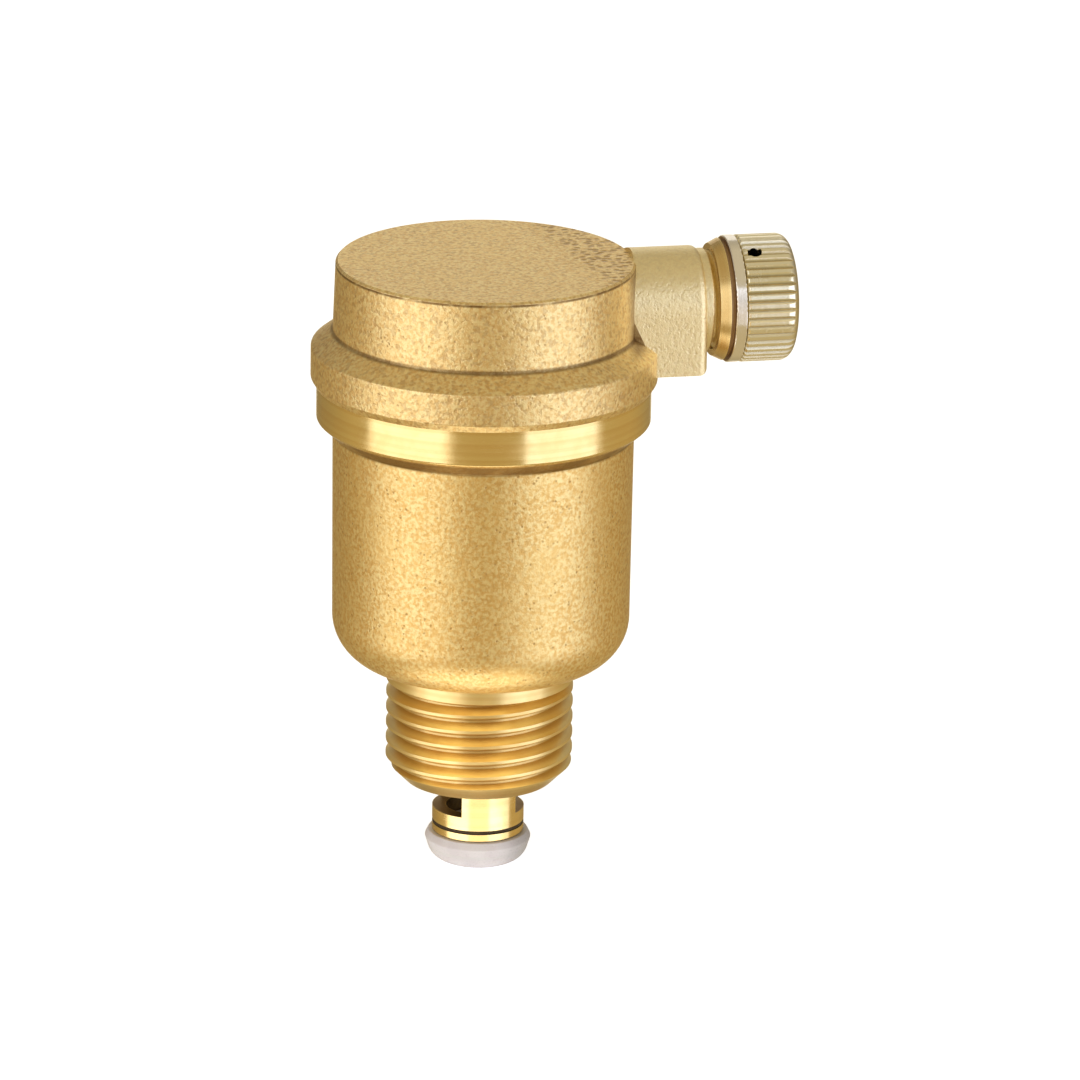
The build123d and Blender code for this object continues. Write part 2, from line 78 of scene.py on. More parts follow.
PAST_EDGE = 1.0 * MM  # far enough past an edge to be on the next face
ON_COLLAR = 0.05 * MM  # nearer the collar's radius than this is on the collar
CREASE_REACH = 0.28 * MM  # how far the crease at the wall's foot runs out from the wall

_, body_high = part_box("body")
cap_low, cap_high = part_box("vent_cap")
outlet_z = (cap_low.z + cap_high.z) / 2
cap_radius = (cap_high.z - cap_low.z) / 2
crest_radius = mounts["inlet_thread"]["dims"]["r_mm"] * MM
collar_radius = body_high.x
cover_points = [vertex.co for vertex in nodes["cover"].data.vertices]
top_z = max(point.z for point in cover_points if point.x < 0)
boss_foot_z = min(point.z for point in cover_points if point.x > collar_radius + PAST_EDGE)
seam_z = body_high.z
collar_foot_z = min(vertex.co.z for vertex in nodes["body"].data.vertices
                    if vertex.co.xy.length > collar_radius - ON_COLLAR)
wall_radius = max(point.xy.length for point in cover_points
                  if point.x < 0 and point.z > top_z - PAST_EDGE)
wall_foot_z = min(point.z for point in cover_points
                  if point.x < 0 and point.z > seam_z + PAST_EDGE
                  and wall_radius < point.xy.length < wall_radius + CREASE_REACH)

# ---- camera ----

CAMERA_AZIMUTH = math.radians(-11.5)
CAMERA_ELEVATION = math.radians(18.1)
CAMERA_ROLL = math.radians(0.94)
CAMERA_DISTANCE = 1.0
CAMERA_LENS = 299.5
SENSOR = 36.0
FRAMED_POINT = Vector((0, 0, 0.012))
FRAME_RIGHT = 0.00651  # from the framed point to the picture's centre, as is the next
FRAME_UP = 0.00183


def direction(azimuth, elevation):
    """The way from the object towards a viewer: azimuth 0 stands on -Y, 90 degrees on +X."""
    return Vector((
        math.sin(azimuth) * math.cos(elevation),
        -math.cos(azimuth) * math.cos(elevation),
        math.sin(elevation),
    ))


def make_camera():
    """A long lens at the photograph's angle, rolled a little as the photograph is."""
    back = direction(CAMERA_AZIMUTH, CAMERA_ELEVATION)
    level_right = Vector((0, 0, 1)).cross(back).normalized()
    level_up = back.cross(level_right)
    right = level_right * math.cos(CAMERA_ROLL) + level_up * math.sin(CAMERA_ROLL)
    up = back.cross(right)
    aim = FRAMED_POINT + right * FRAME_RIGHT + up * FRAME_UP
    lens = bpy.data.cameras.new("camera")
    lens.lens = CAMERA_LENS
    lens.sensor_width = SENSOR
    camera = bpy.data.objects.new("camera", lens)
    turn = Matrix((right, up, back)).transposed().to_4x4()
    camera.matrix_world = Matrix.Translation(aim + back * CAMERA_DISTANCE) @ turn
    bpy.context.scene.collection.objects.link(camera)
    bpy.context.scene.camera = camera


# ---- studio ----

STUDIO_RADIUS = 0.7
GLOW_DEPTH = 1.0 * MM  # of the table's lamp under the vent's foot
FLOOR_HALF = 4.0
FLOOR_PAINT = (0.80, 0.84, 0.90, 1)
FLOOR_GLOW = (0.97, 0.98, 1, 1)
FLOOR_GLOW_STRENGTH = 0.72

# colour of the surround by height, where 0 is straight down and 1 straight up
SURROUND = (
    (0.25, (0.50, 0.39, 0.20)),
    (0.40, (0.47, 0.35, 0.16)),
    (0.62, (0.48, 0.42, 0.32)),
    (0.90, (0.54, 0.46, 0.30)),
)
# by depth, where -1 is straight in front of the vent and 1 straight behind, the surround falls from
# full strength at the start to this strength at the end
FALL_START, FALL_END = 0.35, 0.95
FALL_STRENGTH = 0.62


def area_lamp(name, width, height, radiance, colour=(1, 1, 1)):
    """An even rectangular lamp of that radiance, on a new object that stands at the origin."""
    lamp = bpy.data.lights.new(name, "AREA")
    lamp.shape = "RECTANGLE"
    lamp.size = width
    lamp.size_y = height
    lamp.energy = math.pi * lamp.size * lamp.size_y * radiance
    lamp.color = colour
    holder = bpy.data.objects.new(name, lamp)
    bpy.context.scene.collection.objects.link(holder)
    return holder


def softbox(name, azimuth, elevation, width, height, radiance, colour):
    """A lamp facing the vent. Angles are in degrees, and azimuth is counted from the camera's."""
    across, upright = (2 * STUDIO_RADIUS * math.tan(math.radians(angle / 2)) for angle in (width, height))
    holder = area_lamp(name, across, upright, radiance, colour)
    back = direction(CAMERA_AZIMUTH + math.radians(azimuth), math.radians(elevation))
    holder.location = back * STUDIO_RADIUS
    holder.rotation_mode = "QUATERNION"
    holder.rotation_quaternion = back.to_track_quat("Z", "Y")


def table_glow(azimuth, distance, width, depth, radiance):
    """The lit table just in front of the inlet, which only the low parts mirror. It shines up."""
    holder = area_lamp("table_glow", width, depth, radiance)
    heading = CAMERA_AZIMUTH + math.radians(azimuth)
    holder.location = direction(heading, 0) * distance
    holder.location.z = cad_low.z - GLOW_DEPTH
    holder.rotation_euler = (math.pi, 0, heading)


def make_world():
    """A dim warm surround for reflections, which the camera itself sees as white paper."""
    world = bpy.data.worlds.new("studio")
    bpy.context.scene.world = world
    world.use_nodes = True
    tree = world.node_tree
    tree.nodes.clear()
    place = tree.nodes.new("ShaderNodeTexCoord")
    split = tree.nodes.new("ShaderNodeSeparateXYZ")
    tree.links.new(place.outputs["Generated"], split.inputs[0])
    ramp = tree.nodes.new("ShaderNodeValToRGB")
    stretch = tree.nodes.new("ShaderNodeMapRange")
    stretch.inputs["From Min"].default_value = -1
    stretch.inputs["From Max"].default_value = 1
    tree.links.new(split.outputs["Z"], stretch.inputs["Value"])
    tree.links.new(stretch.outputs[0], ramp.inputs[0])
    stops = ramp.color_ramp.elements
    stops.remove(stops[1])
    for position, _ in SURROUND[1:]:
        stops.new(position)
    for stop, (position, colour) in zip(stops, SURROUND):
        stop.position = position
        stop.color = (*colour, 1)
    # darker behind the vent, so that its sides fall off
    fall = tree.nodes.new("ShaderNodeMapRange")
    fall.inputs["From Min"].default_value = FALL_START
    fall.inputs["From Max"].default_value = FALL_END
    fall.inputs["To Min"].default_value = 1.0
    fall.inputs["To Max"].default_value = FALL_STRENGTH
    tree.links.new(split.outputs["Y"], fall.inputs["Value"])
    surround = tree.nodes.new("ShaderNodeBackground")
    tree.links.new(ramp.outputs[0], surround.inputs["Color"])
    tree.links.new(fall.outputs[0], surround.inputs["Strength"])
    paper = tree.nodes.new("ShaderNodeBackground")
    paper.inputs["Color"].default_value = (1, 1, 1, 1)
    paper.inputs["Strength"].default_value = 1.0
    ray = tree.nodes.new("ShaderNodeLightPath")
    choice = tree.nodes.new("ShaderNodeMixShader")
    tree.links.new(ray.outputs["Is Camera Ray"], choice.inputs[0])
    tree.links.new(surround.outputs[0], choice.inputs[1])
    tree.links.new(paper.outputs[0], choice.inputs[2])
    out = tree.nodes.new("ShaderNodeOutputWorld")
    tree.links.new(choice.outputs[0], out.inputs["Surface"])


def make_floor():
    """A pale floor under the vent. Metal doesn't mirror it, as on a glass shooting table."""
    sheet = bmesh.new()
    corners = [sheet.verts.new((x * FLOOR_HALF, y * FLOOR_HALF, cad_low.z))
               for x, y in ((-1, -1), (1, -1), (1, 1), (-1, 1))]
    sheet.faces.new(corners)
    mesh = bpy.data.meshes.new("floor")
    sheet.to_mesh(mesh)
    sheet.free()
    floor = bpy.data.objects.new("floor", mesh)
    bpy.context.scene.collection.objects.link(floor)
    paint = bpy.data.materials.new("floor_paper")
    paint.use_nodes = True
    shader = paint.node_tree.nodes["Principled BSDF"]
    shader.inputs["Base Color"].default_value = FLOOR_PAINT
    shader.inputs["Roughness"].default_value = 0.9
    shader.inputs["Specular IOR Level"].default_value = 0.0
    shader.inputs["Emission Color"].default_value = FLOOR_GLOW
    shader.inputs["Emission Strength"].default_value = FLOOR_GLOW_STRENGTH
    mesh.materials.append(paint)
    floor.visible_glossy = False
    floor.visible_shadow = False


# ---- finishes ----

class Finish:
    """One procedural material. Each method adds nodes and gives back an output socket."""

    def __init__(self, name):
        self.material = bpy.data.materials.new(name)
        self.material.use_nodes = True
        self.tree = self.material.node_tree
        self.shader = self.tree.nodes["Principled BSDF"]
        self.place = self.add("TexCoord").outputs["Object"]

    def add(self, kind, **settings):
        node = self.tree.nodes.new("ShaderNode" + kind)
        for key, value in settings.items():
            setattr(node, key, value)
        return node

    def feed(self, socket, value):
        if isinstance(value, bpy.types.NodeSocket):
            self.tree.links.new(value, socket)
        else:
            socket.default_value = value

    def set(self, **values):
        """Feeds the shader's sockets: base_color becomes Base Color, and so on."""
        names = {"specular": "Specular IOR Level", "subsurface": "Subsurface Weight"}
        for key, value in values.items():
            self.feed(self.shader.inputs[names.get(key, key.replace("_", " ").title())], value)

    def compute(self, operation, a, b=0.0, clamp=False):
        """One maths node, of the named operation."""
        node = self.add("Math", operation=operation, use_clamp=clamp)
        self.feed(node.inputs[0], a)
        self.feed(node.inputs[1], b)
        return node.outputs[0]

    def plus(self, a, b):
        return self.compute("ADD", a, b)

    def minus(self, a, b):
        return self.compute("SUBTRACT", a, b)

    def times(self, a, b):
        return self.compute("MULTIPLY", a, b)

    def noise(self, size, detail=2.0, roughness=0.5, place=None):
        """Noise from 0 to 1 with lumps of the given size in metres."""
        node = self.add("TexNoise")
        self.feed(node.inputs["Vector"], place or self.place)
        self.feed(node.inputs["Scale"], 1 / size)
        self.feed(node.inputs["Detail"], detail)
        self.feed(node.inputs["Roughness"], roughness)
        return node.outputs[0]

    def cells(self, size):
        """Distance to the nearest of points scattered that far apart, as a share of the size."""
        node = self.add("TexVoronoi")
        self.feed(node.inputs["Vector"], self.place)
        self.feed(node.inputs["Scale"], 1 / size)
        return node.outputs["Distance"]

    def ramp(self, value, low, high, start=0.0, end=1.0):
        """Start below low, end above high, and a smooth step between."""
        node = self.add("MapRange", interpolation_type="SMOOTHSTEP", clamp=True)
        for key, number in (("Value", value), ("From Min", low), ("From Max", high),
                            ("To Min", start), ("To Max", end)):
            self.feed(node.inputs[key], number)
        return node.outputs[0]

    def band(self, value, centre, full, faded):
        """1 where the value is nearer the centre than full, and 0 where it is beyond faded."""
        return self.ramp(self.compute("ABSOLUTE", self.minus(value, centre)), full, faded, 1.0, 0.0)

    def blend(self, share, a, b):
        """Colour a where share is 0, colour b where it is 1."""
        node = self.add("Mix", data_type="RGBA")
        self.feed(node.inputs[0], share)
        for socket, colour in ((node.inputs[6], a), (node.inputs[7], b)):
            self.feed(socket, colour if isinstance(colour, bpy.types.NodeSocket) else (*colour, 1))
        return node.outputs[2]

    def axes(self):
        node = self.add("SeparateXYZ")
        self.feed(node.inputs[0], self.place)
        return node.outputs

    def radius(self, axis, centre_z):
        """Distance from the body's axis ("Z"), or from a line along X at height centre_z."""
        x, y, z = self.axes()
        first = x if axis == "Z" else self.minus(z, centre_z)
        squares = self.plus(self.times(first, first), self.times(y, y))
        return self.compute("SQRT", squares)

    def lathe_place(self, axis, centre_z=0.0):
        """Coordinates that change only along the axis and outwards, as a lathe's marks do."""
        x, _, z = self.axes()
        node = self.add("CombineXYZ")
        self.feed(node.inputs[0], self.radius(axis, centre_z))
        self.feed(node.inputs[1], z if axis == "Z" else x)
        return node.outputs[0]

    def edges(self, width):
        """1 on sharp edges and inner corners, and 0 on flats, over about that width."""
        soft = self.add("Bevel", samples=6)
        self.feed(soft.inputs["Radius"], width)
        flat = self.add("NewGeometry").outputs["Normal"]
        dot = self.add("VectorMath", operation="DOT_PRODUCT")
        self.feed(dot.inputs[0], soft.outputs[0])
        self.feed(dot.inputs[1], flat)
        return self.ramp(dot.outputs["Value"], 0.80, 0.99, 1.0, 0.0)

    def bump(self, height, strength, depth):
        node = self.add("Bump")
        self.feed(node.inputs["Strength"], strength)
        self.feed(node.inputs["Distance"], depth)
        self.feed(node.inputs["Height"], height)
        return node.outputs[0]


BRASS_WHITE = (0.97, 0.89, 0.66)
BRASS_PALE = (0.98, 0.80, 0.40)
BRASS = (0.94, 0.69, 0.28)
BRASS_DEEP = (0.80, 0.52, 0.18)
BRASS_BROWN = (0.46, 0.27, 0.10)
BRASS_DARK = (0.22, 0.13, 0.05)


# marks and painted shade that belong to one place on the casting
SKIN_START_X, SKIN_FULL_X = 8.4 * MM, 11.4 * MM
SKIN_SLANT = 0.15
CORNER_START_X, CORNER_FULL_X = 13.6 * MM, 15.9 * MM
CORNER_START_Z, CORNER_FULL_Z = 36.8 * MM, 38.0 * MM
SLOPE_DROP = 1.0 * MM  # from the collar's foot to the middle of the slope under it


def blasted_brass(name, pale=0.0, wash=BRASS_WHITE, size=0.42, grit_depth=0.055, marks=1.0):
    """Fine shot-blasted casting: a grain of peaks and pits, patches of tone, rubbed edges.

    The colour wash covers the share pale of it. The grain's size and the grit's depth are in
    millimetres. The marks and the painted shade that belong to one place fade out as marks goes from 1 to
    0.
    """
    f = Finish(name)
    x, y, z = f.axes()
    grain = f.noise(size * MM, 3.0, 0.6)
    grit = f.noise(0.16 * MM, 2.0, 0.5)
    patch = f.noise(5.0 * MM, 3.0, 0.55)
    # the cover is coarser than the body
    cover = f.ramp(z, seam_z - 0.4 * MM, seam_z - 0.1 * MM)
    speck = f.times(f.ramp(f.noise(0.55 * MM, 1.0), 0.50, 0.66), f.ramp(cover, 0, 1, 0.25, 0.75))
    pits = f.ramp(f.cells(0.62 * MM), 0.10, 0.32, 1.0, 0.0)
    rare = f.ramp(f.noise(1.6 * MM, 1.0), 0.50, 0.62)
    pits = f.times(pits, rare)
    # coarse skin on the top by the outlet, where the boss runs in: its lumps are raised, and the brown
    # between them is painted shade
    coarse_and_shaded = f.ramp(f.plus(x, f.times(y, SKIN_SLANT)), SKIN_START_X, SKIN_FULL_X)
    coarse_and_shaded = f.times(coarse_and_shaded, f.ramp(z, top_z - 0.12 * MM, top_z - 0.04 * MM, 0.0, marks))
    lumps = f.times(f.ramp(f.cells(0.85 * MM), 0.12, 0.55), coarse_and_shaded)
    # painted shade: a dark line along the rim's bevel
    rim_shade_line = f.times(f.ramp(z, top_z - 0.62 * MM, top_z - 0.42 * MM),
                   f.ramp(z, top_z - 0.30 * MM, top_z - 0.22 * MM, 1, 0))
    rim_shade_line = f.times(rim_shade_line, f.ramp(f.noise(2.4 * MM, 2.0), 0.36, 0.52, 0.45, 1.0))
    rim_shade_line = f.times(rim_shade_line, marks)
    tone = f.blend(f.ramp(grain, 0.36, 0.64), BRASS_DEEP, BRASS_PALE)
    tone = f.blend(f.ramp(patch, 0.35, 0.75, 0.0, 0.45), tone, BRASS)
    tone = f.blend(f.times(speck, 0.55), tone, BRASS_BROWN)
    tone = f.blend(f.times(pits, 0.7), tone, BRASS_BROWN)
    # painted shade: brown between the coarse skin's lumps
    tone = f.blend(f.compute("SUBTRACT", coarse_and_shaded, lumps, clamp=True), tone, BRASS_BROWN)
    tone = f.blend(pale, tone, wash)
    tone = f.blend(f.times(cover, 0.12), tone, BRASS_WHITE)
    # the corner between the wall and the boss is dull, and darkened by painted shade
    corner_shade = f.times(f.ramp(x, CORNER_START_X, CORNER_FULL_X), f.ramp(z, CORNER_START_Z, CORNER_FULL_Z))
    corner_shade = f.times(corner_shade, f.ramp(z, top_z - 0.8 * MM, top_z - 0.3 * MM, marks, 0))
    tone = f.blend(f.times(corner_shade, 0.83), tone, BRASS_DARK)
    # painted shade in the crease at the wall's foot and on the slope under the collar
    crease_shade = f.band(z, wall_foot_z, 0.08 * MM, 0.36 * MM)
    slope_shade = f.band(z, collar_foot_z - SLOPE_DROP, 0.5 * MM, 0.95 * MM)
    darkening = f.times(f.compute("MAXIMUM", crease_shade, slope_shade), f.ramp(patch, 0.30, 0.60, 0.55, 0.85))
    darkening = f.times(darkening, marks)
    tone = f.blend(darkening, tone, BRASS_DARK)
    # the edge finder marks inner corners too, so it is held off the painted shade in them
    worn = f.times(f.edges(0.35 * MM), f.minus(1.0, f.compute("MAXIMUM", corner_shade, darkening)))
    tone = f.blend(f.times(worn, 0.6), tone, BRASS_PALE)
    # the painted shade line along the rim's bevel
    tone = f.blend(f.times(rim_shade_line, 0.9), tone, BRASS_DARK)
    rough = f.ramp(grit, 0.3, 0.7, 0.34, 0.50)
    rough = f.minus(rough, f.times(worn, 0.12))
    height = f.plus(grain, f.times(grit, 0.5))
    height = f.minus(height, f.times(pits, 0.6))
    height = f.minus(height, f.times(speck, 0.5))
    height = f.plus(height, f.times(lumps, 3.2))
    f.set(metallic=1.0, base_color=tone, roughness=rough, normal=f.bump(height, 0.7, grit_depth * MM))
    return f.material


def turned_brass(name, axis, centre_z=0.0, roughness=0.16, root=None, crest=None, pale=0.0,
                 wash=BRASS_WHITE, darkening=0.5, root_tone=BRASS_BROWN):
    """Bright lathe-turned brass: fine rings, handling smudges, and the colour wash over the share pale.

    Where root and crest are given, it grows darker towards the root's radius and is untouched at the
    crest's; the last two arguments give the share and the colour of this darkening.
    """
    f = Finish(name)
    rings = f.noise(0.09 * MM, 2.0, 0.6, place=f.lathe_place(axis, centre_z))
    wide = f.noise(0.7 * MM, 2.0, 0.5, place=f.lathe_place(axis, centre_z))
    smudge = f.noise(3.2 * MM, 3.0, 0.6)
    tone = f.blend(f.ramp(smudge, 0.35, 0.70, 0.0, 0.5), BRASS_PALE, BRASS)
    tone = f.blend(f.ramp(wide, 0.40, 0.62, 0.0, 0.35), tone, BRASS_DEEP)
    if root is not None:
        # darker towards the root's radius
        root_darkening = f.ramp(f.radius(axis, centre_z), root, crest, 1.0, 0.0)
        root_darkening = f.times(root_darkening, f.ramp(smudge, 0.25, 0.6, 0.75, 1.0))
        tone = f.blend(f.times(root_darkening, darkening), f.blend(pale, tone, wash), root_tone)
    else:
        tone = f.blend(pale, tone, wash)
    worn = f.edges(0.2 * MM)
    tone = f.blend(f.times(worn, 0.7), tone, BRASS_PALE)
    rough = f.plus(f.ramp(smudge, 0.35, 0.75, roughness - 0.03, roughness + 0.08),
                   f.ramp(rings, 0.35, 0.7, 0.0, 0.05))
    height = f.plus(rings, f.times(wide, 0.6))
    f.set(metallic=1.0, base_color=tone, roughness=rough, normal=f.bump(height, 0.25, 0.01 * MM))
    return f.material


def stainless(name="stainless"):
    """Drawn or stamped steel: a long fine grain and faint heat tint."""
    f = Finish(name)
    streak = f.add("Mapping")
    f.feed(streak.inputs["Vector"], f.place)
    f.feed(streak.inputs["Scale"], (1, 1, 9))
    grain = f.noise(0.35 * MM, 3.0, 0.6, place=streak.outputs[0])
    patch = f.noise(1.8 * MM, 2.0, 0.5)
    tone = f.blend(f.ramp(grain, 0.3, 0.7), (0.50, 0.50, 0.49), (0.70, 0.70, 0.68))
    tone = f.blend(f.ramp(patch, 0.45, 0.8, 0.0, 0.3), tone, (0.58, 0.52, 0.42))
    tone = f.blend(f.times(f.edges(0.12 * MM), 0.6), tone, (0.82, 0.82, 0.80))
    rough = f.ramp(grain, 0.3, 0.7, 0.22, 0.34)
    f.set(metallic=1.0, base_color=tone, roughness=rough, normal=f.bump(grain, 0.2, 0.01 * MM))
    return f.material


def float_plastic():
    """Moulded polypropylene: off-white, finely textured, with water marks."""
    f = Finish("float_plastic")
    skin = f.noise(0.22 * MM, 2.0, 0.5)
    marks = f.noise(4.0 * MM, 3.0, 0.6)
    tone = f.blend(f.ramp(marks, 0.45, 0.75, 0.0, 0.5), (0.80, 0.79, 0.74), (0.68, 0.64, 0.52))
    tone = f.blend(f.times(f.edges(0.4 * MM), 0.5), tone, (0.88, 0.87, 0.84))
    rough = f.ramp(skin, 0.3, 0.7, 0.42, 0.56)
    f.set(base_color=tone, roughness=rough, subsurface=0.15, subsurface_scale=0.8 * MM,
          normal=f.bump(skin, 0.2, 0.02 * MM))
    return f.material


def head_plastic():
    """White plastic, a little see-through, greyed by handling, and darker towards +X by painted shade."""
    f = Finish("head_plastic")
    cloud = f.noise(2.6 * MM, 3.0, 0.55)
    skin = f.noise(0.18 * MM, 2.0, 0.5)
    flow = f.noise(0.5 * MM, 2.0, 0.5, place=f.lathe_place("Z"))
    tone = f.blend(f.ramp(cloud, 0.35, 0.70), (0.60, 0.565, 0.56), (0.55, 0.505, 0.51))
    tone = f.blend(f.ramp(flow, 0.52, 0.72, 0.0, 0.35), tone, (0.50, 0.53, 0.47))
    # painted shade: the head darkens towards its +X side
    x, _, _ = f.axes()
    tone = f.blend(f.ramp(x, 0.5 * MM, 5.5 * MM, 0.0, 0.85), tone, (0.30, 0.285, 0.28))
    tone = f.blend(f.times(f.edges(0.3 * MM), 0.3), tone, (0.78, 0.77, 0.75))
    rough = f.ramp(skin, 0.3, 0.7, 0.26, 0.40)
    f.set(base_color=tone, roughness=rough, subsurface=0.35, subsurface_scale=1.2 * MM,
          subsurface_radius=(1.0, 0.8, 0.7), normal=f.bump(skin, 0.15, 0.015 * MM))
    return f.material


def black_rubber():
    """Moulded rubber: matt, with a bloom of dust."""
    f = Finish("black_rubber")
    skin = f.noise(0.12 * MM, 3.0, 0.6)
    bloom = f.noise(1.4 * MM, 3.0, 0.6)
    tone = f.blend(f.ramp(bloom, 0.45, 0.8), (0.045, 0.028, 0.012), (0.085, 0.055, 0.025))
    rough = f.ramp(skin, 0.3, 0.7, 0.52, 0.70)
    f.set(base_color=tone, roughness=rough, specular=0.2, normal=f.bump(skin, 0.3, 0.015 * MM))
    return f.material


def dress(node, first, zones=()):
    """Gives a CAD node its finish, and each zone's own finish to the faces its test picks."""
    mesh = nodes[node].data
    mesh.materials.clear()
    mesh.materials.append(first)
    for finish, _ in zones:
        mesh.materials.append(finish)
    for face in mesh.polygons:
        face.material_index = 0
        for index, (_, picks) in enumerate(zones, start=1):
            if picks(face.center, face.normal):
                face.material_index = index


def out(point):
    """Distance from the body's axis."""
    return math.hypot(point.x, point.y)


def about_outlet(point):
    """Distance from the outlet's axis."""
    return math.hypot(point.y, point.z - outlet_z)


def outward(point, normal):
    """Above 0 where a face looks away from the body's axis, and below 0 where it looks in."""
    return normal.x * point.x + normal.y * point.y


# limits of the zones; a reach is a distance from the axis that the zone's faces lie within or beyond
SKIM = 0.01 * MM  # further past a plane than a face that lies in it
COLLAR_HEIGHT = 4.0 * MM
COLLAR_DEPTH = 0.25 * MM
CHAMBER_FOOT_Z = -0.5 * MM
CHAMBER_REACH = 15.3 * MM  # just past the bore that the cover's spigot fits
BOSS_START_X = 16.3 * MM
BOSS_HALF_WIDTH = 6.12 * MM
ROOF = 2.4 * MM  # down from the cover's top
CAVITY_REACH = 15.2 * MM  # just past the spigot
CONE_END, GROOVE_END = 1.05 * MM, 1.65 * MM  # along the cap from its back, as are the next two
BAND_START, BAND_END = 1.55 * MM, 2.87 * MM
GROOVE_REACH = 5.7 * MM
BAND_REACH = 6.9 * MM
SPOOL_BORE_REACH = 5.0 * MM
LOOKS_UP = 0.9  # a normal's z above this


# each test of a zone is given a face's centre and its normal

def on_collar(point, normal):
    return point.z > seam_z - COLLAR_HEIGHT and out(point) > collar_radius - COLLAR_DEPTH


def in_chamber(point, normal):
    return point.z > CHAMBER_FOOT_Z and out(point) < CHAMBER_REACH and outward(point, normal) <= 0


def on_inlet(point, normal):
    return point.z < -SKIM


def on_boss(point, normal):
    """The boss and the threaded stub on it."""
    beside = point.x > BOSS_START_X and abs(point.y) < BOSS_HALF_WIDTH
    return point.z > top_z + SKIM or (beside and point.z > boss_foot_z - SKIM)


def in_cover(point, normal):
    return point.z < top_z - ROOF and out(point) < CAVITY_REACH


def on_cap_groove(point, normal):
    return CONE_END < point.x - cap_low.x < GROOVE_END and about_outlet(point) > GROOVE_REACH


def on_cap_cone(point, normal):
    return point.x - cap_low.x <= CONE_END


def on_cap_band(point, normal):
    return BAND_START < point.x - cap_low.x < BAND_END and about_outlet(point) > BAND_REACH


def in_spool(point, normal):
    return out(point) < SPOOL_BORE_REACH and (outward(point, normal) < 0 or normal.z > LOOKS_UP)


# ---- spring ----

WIRE_RADIUS = 0.3 * MM
CLOSED_PITCH = 2.1 * WIRE_RADIUS  # of the end turns, which almost touch
COIL_TURNS = 6.5
CLOSED_TURNS = 1.0  # at each end
EASING = 0.35  # how softly the open turns leave the closed ones, from 0 to 1
WIRE_SIDES = 14
TURN_STEPS = 48


def coil_height(turn, foot, head):
    """Height of the wire's centre after that many turns."""
    share = min(max((turn - CLOSED_TURNS) / (COIL_TURNS - 2 * CLOSED_TURNS), 0), 1)
    share = share * share * (3 - 2 * share) * EASING + share * (1 - EASING)
    flat_turns = min(turn, CLOSED_TURNS) + max(turn - COIL_TURNS + CLOSED_TURNS, 0)
    return foot + flat_turns * CLOSED_PITCH + share * (head - foot - 2 * CLOSED_TURNS * CLOSED_PITCH)


def make_spring():
    """The shut-off's coil spring, closed at each end by a turn, at the CAD part's length; the real one
    shortens as the spool rises.
    """
    low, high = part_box("shutoff_spring")
    coil = high.x - WIRE_RADIUS
    foot, head = low.z + WIRE_RADIUS, high.z - WIRE_RADIUS
    count = int(COIL_TURNS * TURN_STEPS)
    wound = bmesh.new()
    rings = []
    for i in range(count + 1):
        turn = COIL_TURNS * i / count
        angle = 2 * math.pi * turn
        outwards = Vector((math.cos(angle), math.sin(angle), 0))
        centre = outwards * coil + Vector((0, 0, coil_height(turn, foot, head)))
        ring = []
        for k in range(WIRE_SIDES):
            around = 2 * math.pi * k / WIRE_SIDES
            upwards = Vector((0, 0, WIRE_RADIUS * math.sin(around)))
            ring.append(wound.verts.new(centre + outwards * WIRE_RADIUS * math.cos(around) + upwards))
        rings.append(ring)
    for a, b in zip(rings, rings[1:]):
        for k in range(WIRE_SIDES):
            after = (k + 1) % WIRE_SIDES
            wound.faces.new((a[k], b[k], b[after], a[after]))
    wound.faces.new(rings[0])
    wound.faces.new(reversed(rings[-1]))
    bmesh.ops.recalc_face_normals(wound, faces=wound.faces)
    mesh = bpy.data.meshes.new("coil_spring")
    wound.to_mesh(mesh)
    wound.free()
    for face in mesh.polygons:
        face.use_smooth = len(face.vertices) == 4
    spring = bpy.data.objects.new("coil_spring", mesh)
    bpy.context.scene.collection.objects.link(spring)
    mesh.materials.append(stainless("spring_wire"))
    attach(spring, "vent_body")
    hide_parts("shutoff_spring")
    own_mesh(spring)


# ---- build ----

make_camera()
make_world()
make_floor()
softbox("softbox_left", azimuth=-53, elevation=3, width=62, height=70, radiance=1.02,
        colour=(0.95, 0.99, 1.10))
softbox("softbox_right", azimuth=57, elevation=3, width=57, height=70, radiance=0.95,
        colour=(0.90, 1.02, 1.30))
softbox("softbox_back", azimuth=180, elevation=0, width=26, height=70, radiance=0.60,
        colour=(1, 0.96, 0.86))
table_glow(azimuth=-6, distance=24 * MM, width=44 * MM, depth=30 * MM, radiance=1.1)

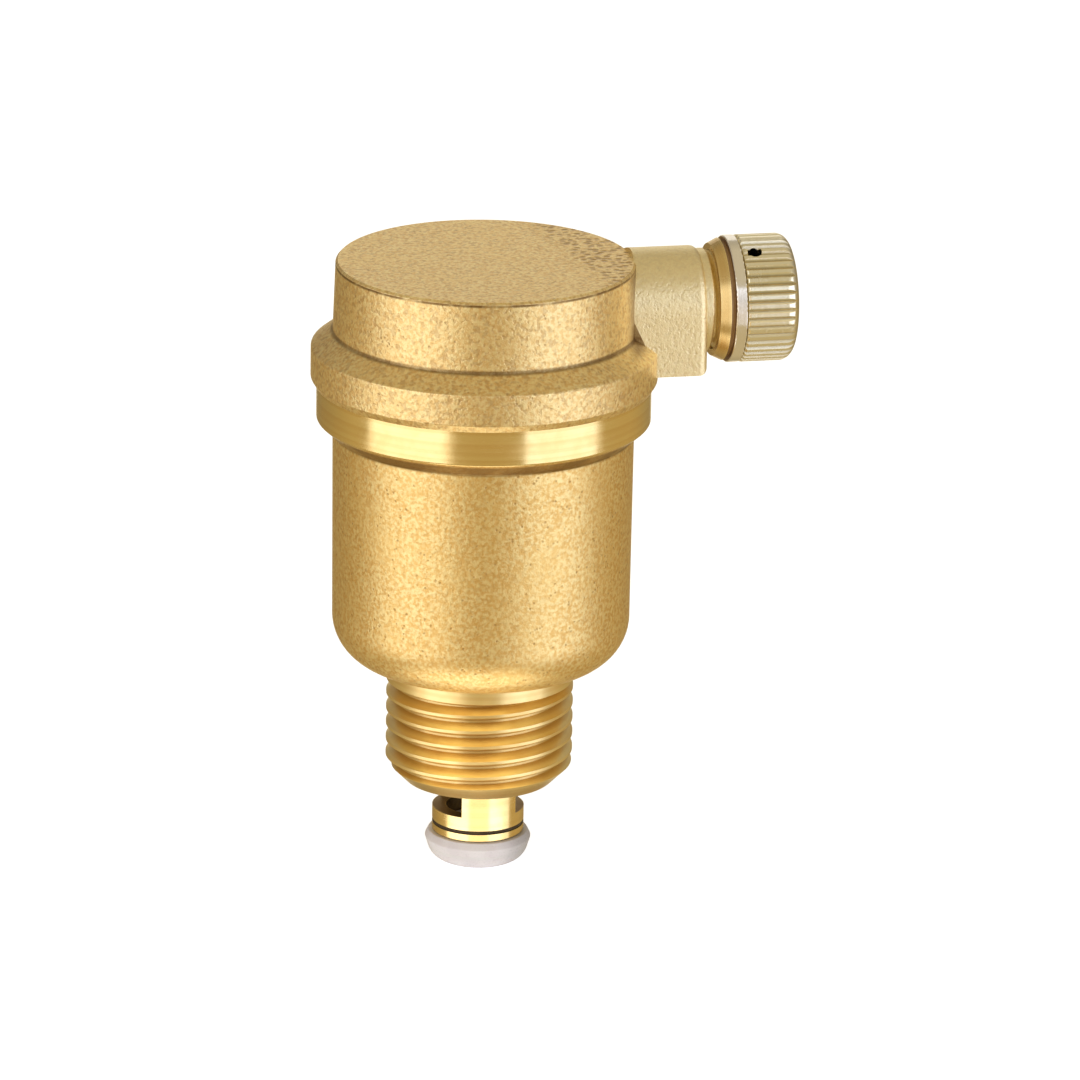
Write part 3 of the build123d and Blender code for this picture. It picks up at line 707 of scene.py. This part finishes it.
blasted = blasted_brass("blasted_brass")
boss_skin = blasted_brass("boss_brass", pale=0.66, wash=(0.99, 0.90, 0.61), size=0.27, grit_depth=0.045,
                          marks=0.0)
turned = turned_brass("turned_brass", "Z")
thread = turned_brass("thread_brass", "Z", roughness=0.31, darkening=0.46,
                      root=crest_radius - 1.15 * MM, crest=crest_radius - 0.2 * MM)
bored = turned_brass("bored_brass", "Z", roughness=0.32)
spool = turned_brass("spool_brass", "Z", roughness=0.20, pale=0.5, wash=BRASS)
# painted shade: the spool's bore and the faces looking up inside it are washed dark brown
spool_bore_shaded = turned_brass("spool_bore_painted_shade", "Z", roughness=0.45, pale=0.85, wash=(0.16, 0.10, 0.04))
knurled = turned_brass("knurled_brass", "X", outlet_z, roughness=0.20,
                       root=cap_radius - 0.42 * MM, crest=cap_radius - 0.04 * MM,
                       pale=0.85, wash=(0.98, 0.96, 0.82), darkening=0.5, root_tone=(0.26, 0.21, 0.13))
# painted shade: the cap's cone is washed brown
cap_cone_shaded = turned_brass("cap_cone_painted_shade", "X", outlet_z, roughness=0.24, pale=0.38, wash=BRASS_BROWN)
# painted shade: the groove on the cap is washed dark
cap_groove_shaded = turned_brass("cap_groove_painted_shade", "X", outlet_z, roughness=0.4, pale=0.75,
                          wash=(0.30, 0.17, 0.14))
# painted highlight: the cap's turned band is washed near white
cap_band_highlight = turned_brass("cap_band_painted_highlight", "X", outlet_z, roughness=0.16, pale=0.9,
                        wash=(0.99, 0.97, 0.96))
seat = turned_brass("seat_brass", "X", outlet_z, roughness=0.18)
steel = stainless()
rubber = black_rubber()
shell = float_plastic()

dress("body", blasted, ((turned, on_collar), (bored, in_chamber), (thread, on_inlet)))
dress("cover", blasted, ((boss_skin, on_boss), (bored, in_cover)))
dress("vent_cap", knurled, ((cap_groove_shaded, on_cap_groove), (cap_cone_shaded, on_cap_cone), (cap_band_highlight, on_cap_band)))
dress("cap_gasket", rubber)
dress("cover_seal", rubber)
dress("spool_seal", rubber)
dress("valve_pad", rubber)
dress("valve_seat", seat)
dress("shutoff_spool", spool, ((spool_bore_shaded, in_spool),))
dress("spring_retainer", bored)
for name in ("lever_bracket", "pivot_pin", "pivot_clip", "valve_lever", "float_pin", "retaining_clip"):
    dress(name, steel)
dress("float_cup", shell)
dress("float_lid", shell)
dress("shutoff_head", head_plastic())
make_spring()

bpy.context.scene.view_settings.view_transform = "Standard"
